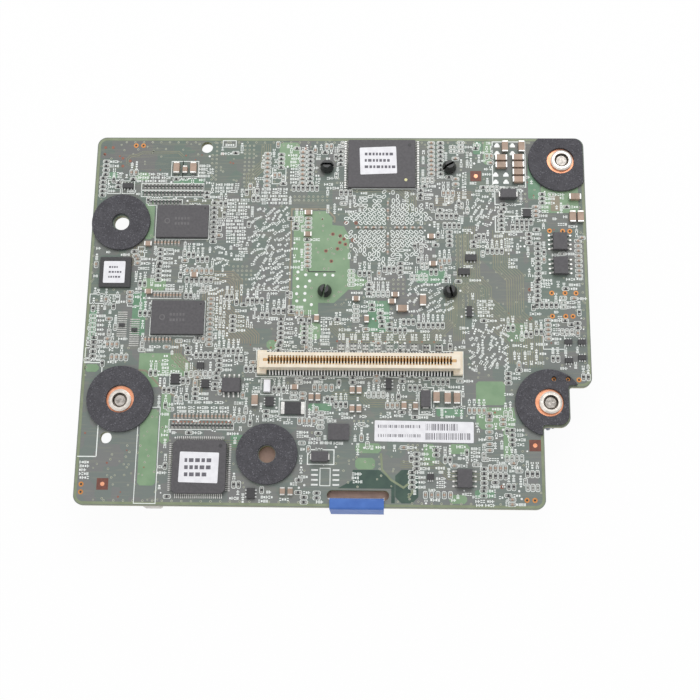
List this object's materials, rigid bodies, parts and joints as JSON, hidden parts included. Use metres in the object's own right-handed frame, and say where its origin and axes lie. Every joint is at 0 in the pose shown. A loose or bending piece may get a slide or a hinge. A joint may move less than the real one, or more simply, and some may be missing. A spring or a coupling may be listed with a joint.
{
  "type": "raid controller card",
  "caption": "Mezzanine storage controller card with a board-to-board connector, cushion washers, captive thumb screws, a pull tab and a heat sink underneath.",
  "frame": {"origin": "middle of the card's outline, on the plane that the card rests on", "axes": "+Z out of the mating face with the mezzanine connector, +X along the card's longer side to the right, +Y from the pull tab to the rear edge"},
  "size_m": [0.1338, 0.1024, 0.0171],
  "materials": {
    "solder_mask": "semi-gloss green solder mask",
    "connector_ivory": "matt ivory moulding",
    "contact_metal": "plated strip",
    "lead_metal": "tinned leads and solder",
    "chip_black": "matt moulding compound",
    "label_white": "matt paper label",
    "washer_black": "matt die-cut sheet",
    "ceramic_tan": "fired ceramic",
    "plated_steel": "bright plated steel",
    "knob_blue": "anodised",
    "tab_blue": "glossy film",
    "sink_metal": "extruded, anodised clear",
    "pin_black": "moulded",
    "lid_nickel": "satin nickel",
    "pad_grey": "soft filled pad"
  },
  "bodies": {
    "card": {"circuit_board": "solder_mask", "standoff_washers": "washer_black", "screw_washers": "washer_black", "screw_retainers": "plated_steel", "mezzanine_housing": "connector_ivory", "mezzanine_contacts": "contact_metal", "flash_chip": "chip_black", "flash_leads": "lead_metal", "flash_label": "label_white", "logic_chip": "chip_black", "logic_leads": "lead_metal", "logic_label": "label_white", "memory_chips": "chip_black", "component_side_memory": "chip_black", "side_controller": "chip_black", "side_label": "label_white", "power_chip": "chip_black", "buffer_chips": "chip_black", "buffer_leads": "lead_metal", "small_chips": "chip_black", "capacitors": "ceramic_tan", "capacitor_ends": "lead_metal", "sense_resistor": "chip_black", "sense_resistor_ends": "lead_metal", "diodes": "chip_black", "diode_ends": "lead_metal", "serial_label": "label_white", "pull_tab": "tab_blue", "raid_processor": "lid_nickel", "thermal_pad": "pad_grey", "heat_sink": "sink_metal", "push_pins": "pin_black", "push_pin_springs": "plated_steel", "left_port_shell": "plated_steel", "left_port_core": "pin_black", "front_port_shell": "plated_steel", "front_port_core": "pin_black", "port_contacts": "contact_metal", "filter_coils": "chip_black", "polymer_capacitors": "chip_black", "screw_spring_left": "plated_steel", "screw_spring_right": "plated_steel", "screw_spring_rear": "plated_steel"},
    "slip_left": {"slip_washer_left": "plated_steel"},
    "screw_left": {"captive_screw_left": "plated_steel", "screw_knob_left": "knob_blue"},
    "slip_right": {"slip_washer_right": "plated_steel"},
    "screw_right": {"captive_screw_right": "plated_steel", "screw_knob_right": "knob_blue"},
    "slip_rear": {"slip_washer_rear": "plated_steel"},
    "screw_rear": {"captive_screw_rear": "plated_steel", "screw_knob_rear": "knob_blue"}
  },
  "joints": [
    {"name": "screw_left_press", "type": "slide", "parent": "card", "child": "slip_left", "axis": [0, 0, 1], "range_m": [0, 0.0032], "stiffness_N_per_m": 400, "springref_m": -0.003, "deforming": ["screw_spring_left"]},
    {"name": "screw_left_turn", "type": "hinge", "parent": "slip_left", "child": "screw_left", "pos_m": [-0.0562, -0.02332, 0.009], "axis": [0, 0, 1], "continuous": true},
    {"name": "screw_right_press", "type": "slide", "parent": "card", "child": "slip_right", "axis": [0, 0, 1], "range_m": [0, 0.0032], "stiffness_N_per_m": 400, "springref_m": -0.003, "deforming": ["screw_spring_right"]},
    {"name": "screw_right_turn", "type": "hinge", "parent": "slip_right", "child": "screw_right", "pos_m": [0.05595, -0.02303, 0.009], "axis": [0, 0, 1], "continuous": true},
    {"name": "screw_rear_press", "type": "slide", "parent": "card", "child": "slip_rear", "axis": [0, 0, 1], "range_m": [0, 0.0032], "stiffness_N_per_m": 400, "springref_m": -0.003, "deforming": ["screw_spring_rear"]},
    {"name": "screw_rear_turn", "type": "hinge", "parent": "slip_rear", "child": "screw_rear", "pos_m": [0.0607, 0.04442, 0.009], "axis": [0, 0, 1], "continuous": true}
  ]
}
